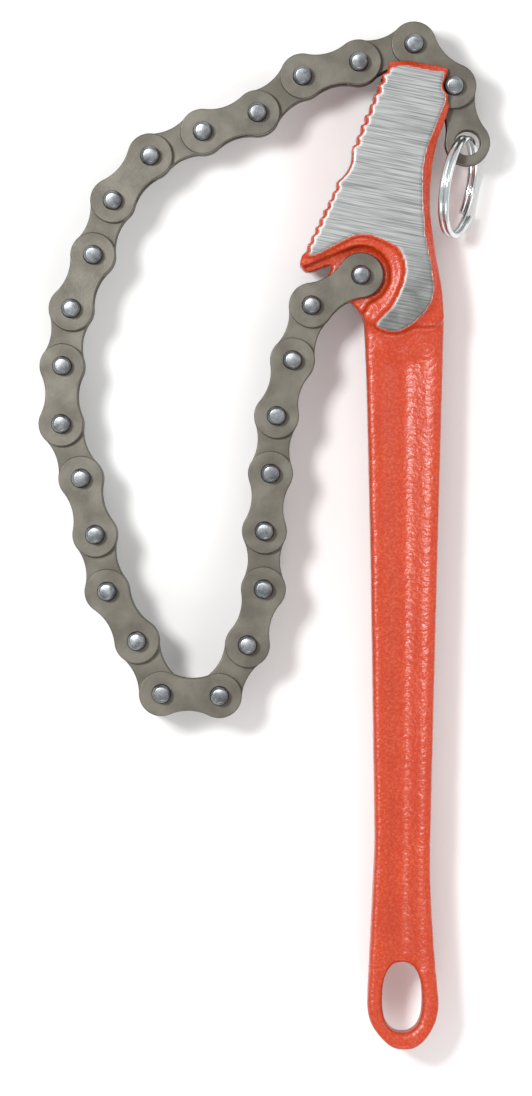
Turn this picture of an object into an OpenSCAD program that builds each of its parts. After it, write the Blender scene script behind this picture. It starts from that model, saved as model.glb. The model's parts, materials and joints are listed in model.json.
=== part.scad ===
// Chain wrench: a cast handle and toothed head with a pinned plate chain and a split ring.
// The tool lies on its side: the chain's pins stand along Z, the handle runs along -Y.

/* [Chain] */
// Distance between neighbouring pins
pitch = 19.05; // [18.9:0.05:19.2]
// Radius of a link plate's round ends
plate_r = 7.4; // [7:0.1:7.6]
// Width of a link plate at its waist
plate_waist = 10.6; // [9.6:0.2:12]
// Thickness of one link plate
plate_t = 2.4; // [2:0.1:2.4]
// Distance from the middle plane to the inner plates
inner_z = 3.5; // [3.4:0.05:3.5]
// Side gap between an inner and an outer plate
plate_gap = 0.15; // [0.1:0.05:0.15]
// Radius of a pin
pin_r = 2.95; // [2.8:0.05:3]
// Length of a pin
pin_len = 25.6; // [25:0.2:26]
// Outside radius of a bush
bush_r = 4.2; // [4:0.1:4.3]
// Running clearance between a pin and its bush or bore
pin_fit = 0.05; // [0.03:0.01:0.08]

/* [Casting] */
// Thickness of the head over its ground faces
head_t = 24.4; // [23.6:0.2:25]
// Thickness of the painted part of the head
shoulder_t = 21; // [20:0.2:22]
// Thickness of the handle over its rims
handle_t = 16; // [15:0.5:17]
// Depth of the shallow channel on each side of the handle
channel_depth = 2.6; // [2:0.1:3]
// Width of the handle's rims
rim_w = 4.6; // [4:0.1:5]
// Thickness of the web that the first link straddles
web_t = 11.5; // [11:0.1:11.5]
// Width of the chain slot between the cheeks
slot_w = 17.6; // [17.4:0.1:18]
// Radius of the pocket round the first pin
pocket_r = 9.7; // [9.2:0.1:10]

// Width of the hang eye
eye_w = 13.2; // [12:0.2:14]
// Length of the hang eye
eye_l = 23.2; // [21:0.2:24]

/* [Split ring] */
// Outside diameter of the ring
ring_od = 34; // [33:0.5:35]
// Diameter of the ring's wire
ring_wire = 2; // [1.8:0.1:2]
// Angle between the ring's plane and the plane of the chain
ring_tilt = 72; // [70:1:75]
// How far the wire sits from the middle of its hole, towards the chain
ring_lift = 1.6; // [1.2:0.1:1.6]

/* [Hidden] */
$fn = 48;
LINKS = 13;
NUMBERS = ["01", "02", "03", "04", "05", "06", "07", "08", "09", "10", "11", "12", "13"];

outer_z = inner_z + plate_t + plate_gap;

// Direction of each link from the pocket to the end of the chain, in degrees from +X
HEADINGS = [211.5, 251, 254, 264, 264, 269, 254, 241, 178, 115, 121, 102, 104,
            110, 89, 81, 68, 70, 50, 25, 19, 39, 14, 18, -46.4, -76];

// Places of the pins measured from the first one, by adding up the links
function pin_at(i) = i == 0 ? [0, 0] : pin_at(i - 1) + pitch * [cos(HEADINGS[i - 1]), sin(HEADINGS[i - 1])];
PINS = [for (i = [0 : len(HEADINGS)]) pin_at(i)];

// The ring's own reach below and above the middle plane sets how high the tool lies
ring_r = ring_od / 2 - ring_wire / 2;
ring_reach = ring_r * sin(ring_tilt) + ring_wire / 2 + ring_wire * 0.5;
mid_z = max(ring_reach, pin_len / 2);

// The origin is the bottom centre of the whole tool
handle_end_y = -254.6;
eye_mid = [13.6, -237.4];
eye_fullness = 0.82;
x_mid = (min([for (p = PINS) p.x]) + max([for (p = PINS) p.x])) / 2;
y_mid = (handle_end_y + max([for (p = PINS) p.y]) + plate_r) / 2;

// ---- curves ----
// Smooth closed-form curve through a list of points (Catmull-Rom), steps pieces a span
function bend(a, b, c, d, t) =
    0.5 * (2 * b + (c - a) * t + (2 * a - 5 * b + 4 * c - d) * t * t + (3 * b - a - 3 * c + d) * t * t * t);
function through(pts, steps = 4) = [
    for (i = [0 : len(pts) - 2]) for (s = [0 : steps - 1])
        bend(pts[max(i - 1, 0)], pts[i], pts[i + 1], pts[min(i + 2, len(pts) - 1)], s / steps),
    pts[len(pts) - 1]
];
// Arc round c from angle a to angle b
function arc(c, r, a, b, n = 8) = [for (i = [0 : n]) c + r * [cos(a + (b - a) * i / n), sin(a + (b - a) * i / n)]];
// A row of saw teeth from a to b, with their valleys to the right of the way they run
function teeth(a, b, count, depth) = let (
    step = (b - a) / count,
    side = depth * [step.y, -step.x] / norm(step)
) [for (i = [0 : count - 1]) each [a + step * (i + 0.15), a + step * (i + 0.62) + side]];

HANDLE_RIGHT = through([[27.3, -15], [27.1, -24.2], [26, -62], [24.9, -99.5], [23.6, -159.7],
                        [22.8, -193.6], [23.8, -217.6], [25.7, -239.7]]);
HANDLE_LEFT = through([[2.1, -239.7], [3.2, -217.6], [4.5, -190], [4.5, -174.9], [3.4, -99.5],
                       [2.2, -43.9], [1.6, -25.5], [1.1, -15.3]]);
HANDLE_END = through([[25.7, -239.7], [24.8, -244.9], [21.9, -250.5], [17.8, -254.1],
                      [13.7, handle_end_y], [9.6, -253.5], [5.1, -248.9], [2.8, -244.6], [2.1, -239.7]]);
HEAD_BACK = through([[29.3, 55.1], [27.5, 49.8], [24.8, 42.9], [23.4, 35.7], [22.7, 26.2],
                     [22.9, 18.9], [24.3, 8.4], [26.6, -4.8], [27.3, -15]]);
HEAD_TOP = [[8.8, 69.8], [14.2, 70.6], [27.6, 68.4], [29, 67.6]];
notch = PINS[25];
notch_r = pin_r + 0.6;
NOTCH = arc(notch, notch_r, 124, 222);
TOOTH_ROWS = concat(
    [[-18.6, 1.2], [-20.2, 3.4]],
    teeth([-19.6, 6], [-8.7, 29.4], 8, 1.7),
    through([[-8.3, 30.2], [-5.6, 32.6], [-3.6, 36], [-2.9, 40]]),
    teeth([-3.4, 41.4], [7.6, 68.4], 8, 1.9)
);
POCKET_LIP = arc([0, 0], pocket_r, 255, 196);
// Point of the web that shows behind the first link, then the corner under the beak
WEB_SLIVER = [[-11.6, -1.2], [-8.2, 4.2], [-16.5, 0.9]];

module web_area() {
    polygon(concat(
        HEAD_TOP, NOTCH, HEAD_BACK, HANDLE_RIGHT, HANDLE_END, HANDLE_LEFT, [[0.3, -13.3]],
        POCKET_LIP, WEB_SLIVER, TOOTH_ROWS));
}

module head_area() {
    polygon(concat(
        HEAD_TOP, NOTCH, HEAD_BACK, [[24, -17], [8, -17], [1.1, -15.3], [0.3, -13.3]],
        POCKET_LIP, WEB_SLIVER, TOOTH_ROWS));
}

// The flat that is ground bright on each side of the head
module ground_area() {
    polygon(concat(
        [[9.2, 68.4], [14.2, 69.2], [23.8, 67.4], [28.2, 67.2], [27.5, 63], [28.6, 58.5]],
        through([[27.9, 55.4], [25.3, 49.2], [21.4, 38], [21, 26.2], [21.6, 14], [24, 1.5], [24, -8],
                 [19.1, -15], [11.9, -19.2], [5.7, -18], [4.7, -15.6], [10.3, -9.4], [14, 0],
                 [12.9, 6.1], [9.9, 9.4], [0.7, 12.7], [-6.8, 10], [-13.4, 6.4], [-17.6, 5.6]]),
        teeth([-19.2, 6.6], [-8.5, 29.4], 8, 1.7),
        through([[-8.1, 30.2], [-5.4, 32.6], [-3.4, 36], [-2.7, 40]]),
        teeth([-3.2, 41.6], [7.8, 68.4], 8, 1.9)));
}

// Space for the first link's plates beside the web, over the link's travel
module pocket_area() {
    circle(pocket_r, $fn = 64);
    polygon([[0, pocket_r], pocket_r * [cos(117), sin(117)], [-40, -6], [-40, -40], [0.3, -13.3], [1.7, -11.4],
             pocket_r * [cos(285), sin(285)]]);
}

// The space between the cheeks, open at the top and the back
module slot_area() {
    polygon([[-12, 61.4], [8, 61.4], [17, 52], [24, 44.2], [60, 44.2], [60, 95], [-12, 95]]);
}

module channel_area() {
    right = [for (p = HANDLE_RIGHT) if (p.y > -226) p - [rim_w, 0]];
    left = [for (p = HANDLE_LEFT) if (p.y > -226 && p.y < -28) p + [rim_w, 0]];
    polygon(concat([for (p = right) if (p.y < -24) p], left, [[9.5, -23], [16.5, -20.4]]));
}

// Long hang eye with full sides and round ends, a little wider at its lower end
function full(v) = sign(v) * pow(abs(v), eye_fullness);
module eye_area() {
    polygon([for (a = [0 : 9 : 351]) eye_mid + [(eye_w / 2 - 0.3 * sin(a)) * full(cos(a)), eye_l / 2 * full(sin(a))]]);
}

module both_sides(from, to) {
    for (side = [0, 1])
        mirror([0, 0, side])
            translate([0, 0, from])
                linear_extrude(to - from)
                    children();
}

module layer(t) {
    translate([0, 0, -t / 2])
        linear_extrude(t)
            children();
}

// Moves a sub-part from the first pin's frame to the tool's own
module placed() {
    translate([-x_mid, -y_mid, mid_z])
        children();
}

module casting() {
    color("#DF4A2C")
        placed()
            difference() {
                union() {
                    layer(web_t) web_area();
                    layer(handle_t)
                        polygon(concat(HANDLE_RIGHT, HANDLE_END, HANDLE_LEFT));
                    layer(shoulder_t) head_area();
                    layer(head_t) ground_area();
                }
                both_sides(handle_t / 2 - channel_depth, head_t)
                    difference() {
                        channel_area();
                        ground_area();
                    }
                both_sides(web_t / 2, head_t) pocket_area();
                layer(slot_w) slot_area();
                layer(head_t * 2) eye_area();
                cylinder(h = head_t * 2, r = pin_r + pin_fit, center = true);
                translate([notch.x, notch.y, 0])
                    cylinder(h = head_t * 2, r = notch_r, center = true);
            }
}

// One link plate from a to b: two round ends joined by a waist of two hollow curves
module plate(a, b, hole_a, hole_b) {
    along = norm(b - a);
    hollow_r = (along * along / 4 + plate_waist * plate_waist / 4 - plate_r * plate_r) / (2 * plate_r - plate_waist);
    hollow = [along / 2, plate_waist / 2 + hollow_r];
    touch = hollow * plate_r / (plate_r + hollow_r);
    translate([a.x, a.y, 0])
        rotate(atan2(b.y - a.y, b.x - a.x))
            linear_extrude(plate_t)
                difference() {
                    union() {
                        circle(plate_r);
                        translate([along, 0])
                            circle(plate_r);
                        translate([touch.x, -touch.y])
                            square([along - 2 * touch.x, 2 * touch.y]);
                    }
                    for (side = [-1, 1])
                        translate([hollow.x, side * hollow.y])
                            circle(hollow_r, $fn = 96);
                    circle(hole_a);
                    translate([along, 0])
                        circle(hole_b);
                }
}

module plate_pair(i, z, hole_a, hole_b) {
    for (side = [0, 1])
        mirror([0, 0, side])
            translate([0, 0, z])
                plate(PINS[i], PINS[i + 1], hole_a, hole_b);
}

module outer_plates(k) {
    color("#6E6B63")
        placed()
            plate_pair(2 * k, outer_z, pin_r, pin_r);
}

module inner_plates(k) {
    color("#75726A")
        placed()
            plate_pair(2 * k + 1, inner_z, bush_r, bush_r);
}

// A pin with chamfered ends
module pin() {
    chamfer = 0.75;
    translate([0, 0, -pin_len / 2])
        rotate_extrude()
            polygon([[0, 0], [pin_r - chamfer, 0], [pin_r, chamfer], [pin_r, pin_len - chamfer],
                     [pin_r - chamfer, pin_len], [0, pin_len]]);
}

module pin_pair(k) {
    color("#8F9395")
        placed()
            for (i = [2 * k, 2 * k + 1])
                translate([PINS[i].x, PINS[i].y, 0])
                    pin();
}

module bush() {
    length = 2 * (inner_z + plate_t);
    difference() {
        cylinder(h = length, r = bush_r, center = true);
        cylinder(h = length + 2, r = pin_r + pin_fit, center = true);
    }
}

// The end link has a bush at its pin only, because its other hole holds the ring
module bush_pair(k) {
    color("#8A8880")
        placed()
            for (i = k == LINKS - 1 ? [2 * k + 1] : [2 * k + 1, 2 * k + 2])
                translate([PINS[i].x, PINS[i].y, 0])
                    bush();
}

// Two turns of wire lying side by side
module split_ring() {
    hole = PINS[26];
    lean = -101;
    color("#C9CDCF")
        placed()
            translate([hole.x, hole.y, 0])
                rotate(lean)
                    translate([ring_r - ring_lift, 0, 0])
                        rotate([-ring_tilt, 0, 0])
                            rotate_extrude($fn = 72)
                                for (side = [-1, 1])
                                    translate([ring_r, side * ring_wire * 0.45])
                                        circle(d = ring_wire, $fn = 24);
}

casting();
split_ring();
for (k = [0 : LINKS - 1]) {
    outer_plates(k);
    pin_pair(k);
    inner_plates(k);
    bush_pair(k);
}
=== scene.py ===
"""Chain wrench: cast handle and head, pinned plate chain and split ring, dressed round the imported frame."""

import json
import logging
import math
from dataclasses import dataclass
from enum import Enum
from typing import Any, Iterable

import bpy
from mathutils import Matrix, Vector


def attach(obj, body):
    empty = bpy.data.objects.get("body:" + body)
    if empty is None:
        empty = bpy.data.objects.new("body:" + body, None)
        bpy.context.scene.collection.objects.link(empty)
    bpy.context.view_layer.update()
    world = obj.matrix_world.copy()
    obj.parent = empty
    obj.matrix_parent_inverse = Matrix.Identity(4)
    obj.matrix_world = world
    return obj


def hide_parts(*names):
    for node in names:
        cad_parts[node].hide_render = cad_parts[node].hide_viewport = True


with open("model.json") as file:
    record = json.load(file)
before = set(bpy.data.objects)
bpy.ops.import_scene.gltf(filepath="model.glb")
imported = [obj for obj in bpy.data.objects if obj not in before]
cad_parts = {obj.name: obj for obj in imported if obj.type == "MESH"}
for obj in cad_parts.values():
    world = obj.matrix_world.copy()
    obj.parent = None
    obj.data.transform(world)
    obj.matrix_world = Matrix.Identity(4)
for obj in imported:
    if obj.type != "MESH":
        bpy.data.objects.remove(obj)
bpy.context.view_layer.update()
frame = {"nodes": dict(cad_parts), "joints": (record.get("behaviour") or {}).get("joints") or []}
log = logging.getLogger("chain_wrench")

MM = 0.001
FIRST_PIN = Vector(frame["joints"][0]["pos_m"])
RING_HOLE = Vector(frame["joints"][-1]["pos_m"])
LINKS = 13
# Values between which noise has most of its range
NOISE_LOW, NOISE_HIGH = 0.35, 0.65
# Half the width of the change from enamel to ground iron
EDGE_BLUR = 0.04 * MM
# The ground face is dull from TONGUE_END below the first pin down, and clearer from TONGUE_TOP above it up
TONGUE_TOP, TONGUE_END = 12 * MM, 10 * MM
TONGUE_DULL, BLADE_DULL = 0.85, 0.12
# The CAD mesh is merged within MERGE_GAP, and its faces within FLAT_ANGLE degrees are joined
MERGE_GAP, FLAT_ANGLE = 0.002 * MM, 0.5
# Third tones: enamel where its coat is thicker, and iron that has dulled
DEEP_ENAMEL, DULL_IRON = "#AA2C0D", "#4F514E"
# Grain sizes on the casting in millimetres: the enamel's edge, its broad patches and the iron's mottle
EDGE_GRAIN, PATCH_GRAIN, MOTTLE_GRAIN = 2.5, 18, 7
# The grinding lines are this many times longer than wide, and turned by this many degrees
GRIND_STRETCH, GRIND_TURN = (40, 1, 1), -11


class Bright(Enum):
    """How a metal surface was finished."""

    GROUND = "ground"
    ROLLED = "rolled"
    PLATED = "plated"


@dataclass(frozen=True)
class Finish:
    """One finish: its colours as hex, its roughness and the size of its pattern in millimetres."""

    name: str
    base: str
    second: str
    metallic: float
    roughness: float
    pattern_mm: float
    bump_mm: float


# Baked enamel sprayed over sand-cast iron: glossy, with a soft orange-peel skin of grain about 1.3 mm
CAST_ENAMEL = Finish("cast_iron_enamel", "#B83512", "#CC5830", 0.0, 0.3, 1.3, 0.2)
# Iron ground on a belt: fine parallel lines, drawn 0.4 mm apart so that they show
GROUND_IRON = Finish("belt_ground_iron", "#7C7F7E", "#A9ABAA", 1.0, 0.38, 0.42, 0.02)
# Heat-treated plate steel, oiled: dull grey-brown, with soft stains
PLATE_STEEL = Finish("oiled_plate_steel", "#5A564E", "#6E6A61", 0.75, 0.42, 2.2, 0.03)
# Turned pin steel: smooth grey, with a fine grain
PIN_STEEL = Finish("turned_pin_steel", "#6A6D70", "#93979A", 1.0, 0.3, 0.6, 0.01)
# Rolled bush steel, in the shade between the plates
BUSH_STEEL = Finish("rolled_bush_steel", "#7C7A73", "#96938B", 0.95, 0.45, 1.5, 0.02)
# Bright zinc on spring wire, with a faint blue-green cast
BRIGHT_ZINC = Finish("bright_zinc_wire", "#C6CDCF", "#E3E8E8", 1.0, 0.18, 3.0, 0.01)


def linear(code: str) -> tuple[float, float, float, float]:
    """Turns an sRGB hex value to linear colour.

    Args:
        code: the colour as #RRGGBB.

    Returns:
        Red, green, blue and alpha, linear.
    """
    parts = [int(code[i : i + 2], 16) / 255 for i in (1, 3, 5)]
    return (*[p / 12.92 if p <= 0.04045 else ((p + 0.055) / 1.055) ** 2.4 for p in parts], 1.0)


def add_node(
    tree: Any, kind: str, settings: dict[Any, Any] | None = None, links: dict[Any, Any] | None = None
) -> Any:
    """Adds one shader node.

    Args:
        tree: the node tree that gets it.
        kind: the node's type.
        settings: attributes, or sockets by name or number, and their values.
        links: input sockets by name or number, and the outputs that feed them.

    Returns:
        The new node.
    """
    node = tree.nodes.new(kind)
    for key, value in (settings or {}).items():
        if isinstance(key, str) and hasattr(node, key):
            setattr(node, key, value)
        else:
            node.inputs[key].default_value = value
    for key, output in (links or {}).items():
        tree.links.new(output, node.inputs[key])
    return node


def mixed(tree: Any, factor: Any, low: Any, high: Any) -> Any:
    """Mixes two colours, each a hex value or an output.

    Args:
        tree: the node tree.
        factor: the output that says how much of high there is.
        low: the colour at 0.
        high: the colour at 1.

    Returns:
        The mixed colour's output.
    """
    node = add_node(tree, "ShaderNodeMix", {"data_type": "RGBA"}, {0: factor})
    for place, value in ((6, low), (7, high)):
        if isinstance(value, str):
            node.inputs[place].default_value = linear(value)
        else:
            tree.links.new(value, node.inputs[place])
    return node.outputs[2]


def new_material(name: str) -> tuple[Any, Any, Any, Any]:
    """Starts a material.

    Args:
        name: the material's name.

    Returns:
        The material, its tree, its shader and the output of Object coordinates.
    """
    material = bpy.data.materials.new(name)
    material.use_nodes = True
    tree = material.node_tree
    shader = tree.nodes["Principled BSDF"]
    coords = add_node(tree, "ShaderNodeTexCoord").outputs["Object"]
    return material, tree, shader, coords


def noise(tree: Any, coords: Any, size_mm: float, detail: float = 3.0, stretch: tuple | None = None,
          turn: float = 0.0) -> Any:
    """Adds noise whose grain is size_mm across.

    Args:
        tree: the node tree.
        coords: the coordinates' output.
        size_mm: the grain's real size.
        detail: the noise's octaves.
        stretch: how many times longer the grain is along X, Y and Z.
        turn: turn of the pattern about Z, in degrees.

    Returns:
        The noise's output.
    """
    if stretch:
        coords = add_node(
            tree,
            "ShaderNodeMapping",
            {"vector_type": "TEXTURE", "Scale": stretch, "Rotation": (0, 0, math.radians(turn))},
            {"Vector": coords},
        ).outputs[0]
    return add_node(
        tree, "ShaderNodeTexNoise", {"Scale": 1 / (size_mm * MM), "Detail": detail}, {"Vector": coords}
    ).outputs[0]


def ramp(tree: Any, value: Any, low: float, high: float, start: float = 0.0, end: float = 1.0) -> Any:
    """Maps a value from low..high to start..end, clamped.

    Args:
        tree: the node tree.
        value: the output to map.
        low: the value that gives start.
        high: the value that gives end.
        start: the result at low.
        end: the result at high.

    Returns:
        The mapped value's output.
    """
    return add_node(
        tree, "ShaderNodeMapRange",
        {"From Min": low, "From Max": high, "To Min": start, "To Max": end}, {"Value": value},
    ).outputs[0]


def bump(tree: Any, shader: Any, height: Any, depth_mm: float) -> None:
    """Puts a bump of that real depth on the shader."""
    node = add_node(tree, "ShaderNodeBump", {"Strength": 1.0, "Distance": depth_mm * MM}, {"Height": height})
    tree.links.new(node.outputs[0], shader.inputs["Normal"])


def metal(finish: Finish, kind: Bright) -> Any:
    """Makes a bare metal material.

    Args:
        finish: its colours and sizes.
        kind: how its surface was finished.

    Returns:
        The material.
    """
    material, tree, shader, coords = new_material(finish.name)
    stains = noise(tree, coords, finish.pattern_mm * 4, 4)
    grain = noise(tree, coords, finish.pattern_mm * (0.25 if kind is Bright.ROLLED else 0.5), 2)
    shade = ramp(tree, stains, NOISE_LOW, NOISE_HIGH)
    tree.links.new(mixed(tree, shade, finish.base, finish.second), shader.inputs["Base Color"])
    rough = ramp(tree, grain, 0.3, 0.7, finish.roughness - 0.07, finish.roughness + 0.09)
    tree.links.new(rough, shader.inputs["Roughness"])
    shader.inputs["Metallic"].default_value = finish.metallic
    bump(tree, shader, grain, finish.bump_mm)
    return material


def casting_material(middle: float, ground_half: float) -> Any:
    """Makes enamel that gives way to ground iron on the head's two flat faces.

    Args:
        middle: height of the tool's middle plane, in metres.
        ground_half: distance from it at which the bright faces begin, in metres.

    Returns:
        The material.
    """
    paint, iron = CAST_ENAMEL, GROUND_IRON
    material, tree, shader, coords = new_material(paint.name)
    place = add_node(tree, "ShaderNodeSeparateXYZ", links={0: coords})
    height = place.outputs[2]
    tongue = ramp(
        tree, place.outputs[1], FIRST_PIN.y - TONGUE_END, FIRST_PIN.y + TONGUE_TOP, TONGUE_DULL, BLADE_DULL
    )
    offset = add_node(tree, "ShaderNodeMath", {"operation": "SUBTRACT", 1: middle}, {0: height}).outputs[0]
    away = add_node(tree, "ShaderNodeMath", {"operation": "ABSOLUTE"}, {0: offset}).outputs[0]
    worn = noise(tree, coords, EDGE_GRAIN, 3)
    ragged = add_node(
        tree, "ShaderNodeMath", {"operation": "MULTIPLY_ADD", 1: 2 * EDGE_BLUR, 2: -EDGE_BLUR}, {0: worn}
    ).outputs[0]
    edge = add_node(tree, "ShaderNodeMath", {"operation": "ADD"}, {0: away, 1: ragged}).outputs[0]
    bare = ramp(tree, edge, ground_half - EDGE_BLUR, ground_half + EDGE_BLUR)
    peel = noise(tree, coords, paint.pattern_mm, 2)
    speckle = ramp(tree, noise(tree, coords, paint.pattern_mm * 0.6, 3), 0.45, 0.75)
    broad = ramp(tree, noise(tree, coords, PATCH_GRAIN, 2), NOISE_LOW, NOISE_HIGH)
    enamel = mixed(tree, speckle, paint.base, paint.second)
    enamel = mixed(tree, ramp(tree, broad, 0, 1, 0, 0.35), enamel, DEEP_ENAMEL)
    lines = noise(tree, coords, iron.pattern_mm, 3, GRIND_STRETCH, GRIND_TURN)
    mottle = ramp(tree, noise(tree, coords, MOTTLE_GRAIN, 4), 0.4, 0.66)
    steel = mixed(tree, ramp(tree, lines, 0.32, 0.68), iron.base, iron.second)
    dull = add_node(
        tree, "ShaderNodeMath", {"operation": "MULTIPLY"}, {0: ramp(tree, mottle, 0, 1, 0.55, 1), 1: tongue}
    )
    steel = mixed(tree, dull.outputs[0], steel, DULL_IRON)
    tree.links.new(mixed(tree, bare, enamel, steel), shader.inputs["Base Color"])
    tree.links.new(bare, shader.inputs["Metallic"])
    paint_rough = ramp(tree, peel, 0.3, 0.7, paint.roughness - 0.05, paint.roughness + 0.08)
    iron_rough = ramp(tree, lines, 0.3, 0.7, iron.roughness - 0.08, iron.roughness + 0.12)
    rough = add_node(tree, "ShaderNodeMix", {"data_type": "FLOAT"}, {0: bare, 2: paint_rough, 3: iron_rough})
    tree.links.new(rough.outputs[0], shader.inputs["Roughness"])
    skin = add_node(tree, "ShaderNodeMath", {"operation": "MULTIPLY", 1: paint.bump_mm}, {0: peel})
    cuts = add_node(tree, "ShaderNodeMath", {"operation": "MULTIPLY", 1: iron.bump_mm}, {0: lines})
    heights = {0: bare, 2: skin.outputs[0], 3: cuts.outputs[0]}
    relief = add_node(tree, "ShaderNodeMix", {"data_type": "FLOAT"}, heights)
    bump(tree, shader, relief.outputs[0], 1.0)
    return material


def select_only(objects: Iterable[Any]) -> None:
    """Deselects everything, then selects these objects and makes the last one active.

    Args:
        objects: the objects to select, or none.
    """
    bpy.ops.object.select_all(action="DESELECT")
    for thing in objects:
        thing.select_set(True)
        bpy.context.view_layer.objects.active = thing


def apply_modifier(piece: Any, kind: str, **settings: Any) -> None:
    """Adds a modifier with its settings and applies it.

    Args:
        piece: the object that gets it.
        kind: the modifier's type.
        settings: the modifier's attributes and their values.
    """
    select_only([piece])
    modifier = piece.modifiers.new(kind.lower(), kind)
    for key, value in settings.items():
        setattr(modifier, key, value)
    bpy.ops.object.modifier_apply(modifier=modifier.name)


def merged_copy(node: str, name: str) -> Any:
    """Copies a frame node's mesh and merges its loose triangles.

    Args:
        node: the node's name.
        name: the new piece's name.

    Returns:
        The new object, at the origin.
    """
    piece = bpy.data.objects.new(name, frame["nodes"][node].data.copy())
    bpy.context.scene.collection.objects.link(piece)
    piece.data.materials.clear()
    select_only([piece])
    bpy.ops.object.mode_set(mode="EDIT")
    bpy.ops.mesh.select_all(action="SELECT")
    bpy.ops.mesh.remove_doubles(threshold=MERGE_GAP)
    bpy.ops.mesh.dissolve_limited(angle_limit=math.radians(FLAT_ANGLE))
    bpy.ops.object.mode_set(mode="OBJECT")
    return piece


def finish_piece(piece: Any, material: Any, body: str, nodes: Iterable[str]) -> None:
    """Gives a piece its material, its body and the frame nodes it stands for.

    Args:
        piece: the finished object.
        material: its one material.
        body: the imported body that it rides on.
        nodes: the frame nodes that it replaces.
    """
    piece.data.materials.clear()
    piece.data.materials.append(material)
    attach(piece, body)
    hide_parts(*nodes)
    log.info("%s: %d faces on %s", piece.name, len(piece.data.polygons), body)


@dataclass
class Casting:
    """The one-piece handle and head, with rounded cast edges and crisp ground faces.

    Sizes in millimetres, angles in degrees.
    """

    voxel: float = 0.62
    crisp_margin: float = 0.35
    tooth_softness: float = 0.06
    head_softness: float = 0.35
    head_end: float = -14.0
    strip: float = 2.0
    ground_half: float = 12.2
    bare_step: float = 0.08
    smooth_passes: int = 26
    handle_half: float = 8.0
    channel_depth: float = 2.5
    channel_share: float = 0.8
    channel_floor: float = 5.0
    channel_top: float = -20.0
    channel_end: float = -228.0
    skin_depth: float = 0.14
    skin_grain: float = 2.6
    tooth_low: tuple[float, float] = (-19.6, 3.0)
    tooth_high: tuple[float, float] = (7.6, 71.0)
    tooth_depth: float = 3.4
    sharp: float = 50.0

    def softness(self, point: Vector) -> float:
        """Says how much a point is smoothed: not at all on the ground faces, and most on the handle.

        Args:
            point: a place in the row frame, in metres.

        Returns:
            A weight from 0 to 1.
        """
        rel = (point - FIRST_PIN) / MM
        if abs(rel.z) > self.ground_half - self.crisp_margin:
            return 0.0
        low, high = Vector(self.tooth_low), Vector(self.tooth_high)
        along = (high - low).normalized()
        flat = Vector((rel.x, rel.y)) - low
        depth = flat.x * along.y - flat.y * along.x
        if rel.y > self.tooth_low[1] and depth < self.tooth_depth:
            return self.tooth_softness
        return self.head_softness if rel.y > self.head_end else 1.0

    def hollow_handle(self, piece: Any) -> None:
        """Turns the flat channel on both sides of the handle into one smooth hollow between round rims.

        Args:
            piece: the remeshed casting.
        """
        sides: dict[int, list[float]] = {}
        for vertex in piece.data.vertices:
            rel = (vertex.co - FIRST_PIN) / MM
            span = sides.setdefault(int(rel.y // self.strip), [rel.x, rel.x])
            span[0], span[1] = min(span[0], rel.x), max(span[1], rel.x)
        for vertex in piece.data.vertices:
            rel = (vertex.co - FIRST_PIN) / MM
            if not self.channel_end < rel.y < self.channel_top or abs(rel.z) < self.channel_floor:
                continue
            low, high = sides[int(rel.y // self.strip)]
            half = (high - low) / 2
            across = (rel.x - (low + high) / 2) / half
            arch_mid = self.channel_top - self.channel_share * half
            across = math.hypot(across, max(rel.y - arch_mid, 0.0) / half) / self.channel_share
            if across < 1.0:
                depth = self.channel_depth * (0.5 + 0.5 * math.cos(math.pi * across))
                vertex.co.z = FIRST_PIN.z + math.copysign(self.handle_half - depth, rel.z) * MM

    def build(self, material: Any) -> Any:
        """Builds the casting.

        Args:
            material: its finish.

        Returns:
            The new piece.
        """
        piece = merged_copy("casting", "cast_body")
        apply_modifier(piece, "REMESH", mode="VOXEL", voxel_size=self.voxel * MM)
        self.hollow_handle(piece)
        apply_modifier(piece, "REMESH", mode="VOXEL", voxel_size=self.voxel * MM)
        group = piece.vertex_groups.new(name="soft")
        for vertex in piece.data.vertices:
            group.add([vertex.index], self.softness(vertex.co), "REPLACE")
        skin = bpy.data.textures.new("cast_skin", "CLOUDS")
        skin.noise_scale = self.skin_grain * MM
        apply_modifier(piece, "SMOOTH", factor=0.5, iterations=self.smooth_passes, vertex_group="soft")
        apply_modifier(piece, "DISPLACE", texture=skin, strength=self.skin_depth * MM, mid_level=0.5,
                       vertex_group="soft", texture_coords="LOCAL")
        piece.vertex_groups.clear()
        select_only([piece])
        bpy.ops.object.shade_smooth_by_angle(angle=math.radians(self.sharp))
        finish_piece(piece, material, "casting", ["casting"])
        return piece


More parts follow.
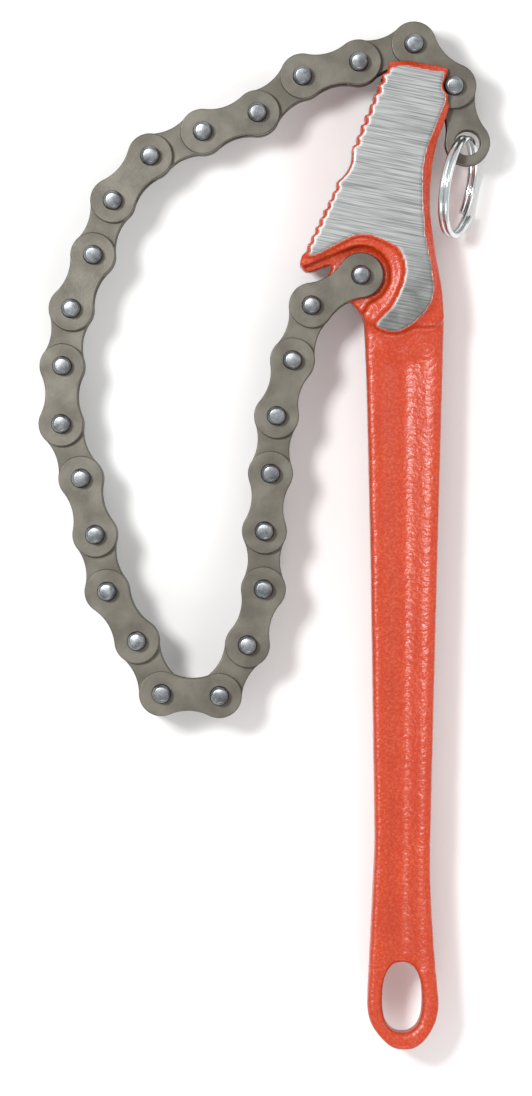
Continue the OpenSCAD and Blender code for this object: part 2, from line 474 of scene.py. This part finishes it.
@dataclass
class Chain:
    """The plates, pins and bushes of the 26 links. Sizes in millimetres, angles in degrees."""

    plate_round: float = 0.38
    pin_round: float = 0.18
    sharp: float = 35.0

    def rounded(self, node: str, name: str, width: float) -> Any:
        """Copies a node and rounds its edges.

        Args:
            node: the frame node.
            name: the new piece's name.
            width: the rounding's width in millimetres.

        Returns:
            The new piece.
        """
        piece = merged_copy(node, name)
        bpy.ops.object.shade_smooth_by_angle(angle=math.radians(self.sharp))
        apply_modifier(piece, "BEVEL", width=width * MM, segments=2, limit_method="ANGLE",
                       angle_limit=math.radians(self.sharp), use_clamp_overlap=True, harden_normals=True)
        return piece

    def build(self, plates: Any, pins: Any, bushes: Any) -> None:
        """Builds every link.

        Args:
            plates: the plates' material.
            pins: the pins' material.
            bushes: the bushes' material.
        """
        for number in range(1, LINKS + 1):
            tag = f"{number:02d}"
            outer, inner = f"outer_link_{tag}", f"inner_link_{tag}"
            for node, body, slot, material, width in (
                (f"outer_plates_{tag}", outer, "plates", plates, self.plate_round),
                (f"inner_plates_{tag}", inner, "plates", plates, self.plate_round),
                (f"pin_pair_{tag}", outer, "pins", pins, self.pin_round),
            ):
                piece = self.rounded(node, f"{node}_finished", width)
                finish_piece(piece, material, body, [node])
            bush = frame["nodes"][f"bush_pair_{tag}"]
            bush.data.materials.clear()
            bush.data.materials.append(bushes)


@dataclass
class SplitRing:
    """Two turns of spring wire with cut ends. Sizes in millimetres, angles in degrees."""

    outside: float = 34.0
    wire: float = 1.9
    tilt: float = -72.0
    lean: float = -101.0
    lift: float = 1.6
    start: float = 62.0
    turned: float = 716.0
    turn_pitch: float = 1.8
    wire_sides: int = 14
    steps: int = 160
    sharp: float = 40.0

    def build(self, material: Any) -> Any:
        """Winds the ring as a helix of two turns.

        Args:
            material: its finish.

        Returns:
            The new piece.
        """
        radius = (self.outside - self.wire) / 2 * MM
        select_only([])
        bpy.ops.mesh.primitive_circle_add(
            vertices=self.wire_sides,
            radius=self.wire / 2 * MM,
            location=(radius, 0, -self.wire * MM * self.turn_pitch / 2),
            rotation=(math.pi / 2, 0, 0),
        )
        piece = bpy.context.object
        piece.name = "wound_ring"
        bpy.ops.object.transform_apply(location=True, rotation=True, scale=True)
        apply_modifier(piece, "SCREW", angle=math.radians(self.turned),
                       screw_offset=self.wire * MM * self.turn_pitch, steps=self.steps,
                       render_steps=self.steps, axis="Z", use_merge_vertices=True, use_smooth_shade=True)
        select_only([piece])
        bpy.ops.object.mode_set(mode="EDIT")
        bpy.ops.mesh.select_all(action="SELECT")
        bpy.ops.mesh.fill_holes(sides=self.wire_sides)
        bpy.ops.mesh.select_all(action="SELECT")
        bpy.ops.mesh.normals_make_consistent(inside=False)
        bpy.ops.object.mode_set(mode="OBJECT")
        for step in ((0, 0, self.start), (self.tilt, 0, 0)):
            piece.rotation_euler = [math.radians(a) for a in step]
            bpy.ops.object.transform_apply(location=False, rotation=True, scale=False)
        piece.location = (radius - self.lift * MM, 0, 0)
        bpy.ops.object.transform_apply(location=True, rotation=False, scale=False)
        piece.rotation_euler = (0, 0, math.radians(self.lean))
        piece.location = RING_HOLE
        bpy.ops.object.transform_apply(location=True, rotation=True, scale=False)
        bpy.ops.object.shade_smooth_by_angle(angle=math.radians(self.sharp))
        finish_piece(piece, material, "ring", ["split_ring"])
        return piece


@dataclass
class Studio:
    """The floor, the lights and the camera. Sizes in metres, light in watts."""

    distance: float = 2.2
    view_height: float = 0.3612
    centre: tuple[float, float] = (0.0005, -0.004)
    film_height_mm: float = 24.0
    floor_size: float = 12.0
    floor_gap: float = 0.0003
    sky: float = 0.68
    lights: tuple = (
        ("key", (-0.52, 0.3, 1.4), 0.26, 14),
        ("fill", (1.1, 0.5, 1.1), 0.9, 4),
        ("low", (0.1, -1.1, 0.9), 0.5, 4),
    )

    def camera(self) -> None:
        """Sets the camera straight above the tool."""
        data = bpy.data.cameras.new("camera")
        data.sensor_fit = "VERTICAL"
        data.sensor_height = self.film_height_mm
        data.lens = self.film_height_mm * self.distance / self.view_height
        camera = bpy.data.objects.new("camera", data)
        bpy.context.scene.collection.objects.link(camera)
        camera.location = (self.centre[0], self.centre[1], FIRST_PIN.z + self.distance)
        bpy.context.scene.camera = camera

    def light(self, name: str, place: tuple[float, float, float], size: float, watts: float) -> None:
        """Hangs one soft light that faces the tool.

        Args:
            name: its name.
            place: where it hangs.
            size: the side of its square.
            watts: its power.
        """
        data = bpy.data.lights.new(name, "AREA")
        data.size = size
        data.energy = watts
        lamp = bpy.data.objects.new(name, data)
        bpy.context.scene.collection.objects.link(lamp)
        lamp.location = place
        lamp.rotation_euler = (-Vector(place)).to_track_quat("-Z", "Y").to_euler()

    def build(self) -> None:
        """Makes the floor and the lights."""
        select_only([])
        bpy.ops.mesh.primitive_plane_add(size=self.floor_size, location=(0, 0, -self.floor_gap))
        floor = bpy.context.object
        floor.name = "floor"
        material, tree, shader, coords = new_material("pale_floor")
        tone = ramp(tree, noise(tree, coords, 60, 2), 0.3, 0.7)
        tree.links.new(mixed(tree, tone, "#F4F4F3", "#F8F8F8"), shader.inputs["Base Color"])
        shader.inputs["Roughness"].default_value = 0.9
        floor.data.materials.append(material)
        world = bpy.data.worlds.new("studio")
        world.use_nodes = True
        world.node_tree.nodes["Background"].inputs[0].default_value = linear("#FFFFFF")
        world.node_tree.nodes["Background"].inputs[1].default_value = self.sky
        bpy.context.scene.world = world
        bpy.context.scene.view_settings.view_transform = "Standard"
        for name, place, size, watts in self.lights:
            self.light(name, place, size, watts)


def main() -> None:
    """Builds the camera, the sub-assemblies and the studio, in that order."""
    logging.basicConfig(level=logging.INFO)
    studio = Studio()
    studio.camera()
    casting = Casting()
    casting.build(casting_material(FIRST_PIN.z, (casting.ground_half - casting.bare_step) * MM))
    Chain().build(
        metal(PLATE_STEEL, Bright.ROLLED), metal(PIN_STEEL, Bright.GROUND), metal(BUSH_STEEL, Bright.ROLLED)
    )
    SplitRing().build(metal(BRIGHT_ZINC, Bright.PLATED))
    studio.build()


if __name__ == "__main__":
    main()
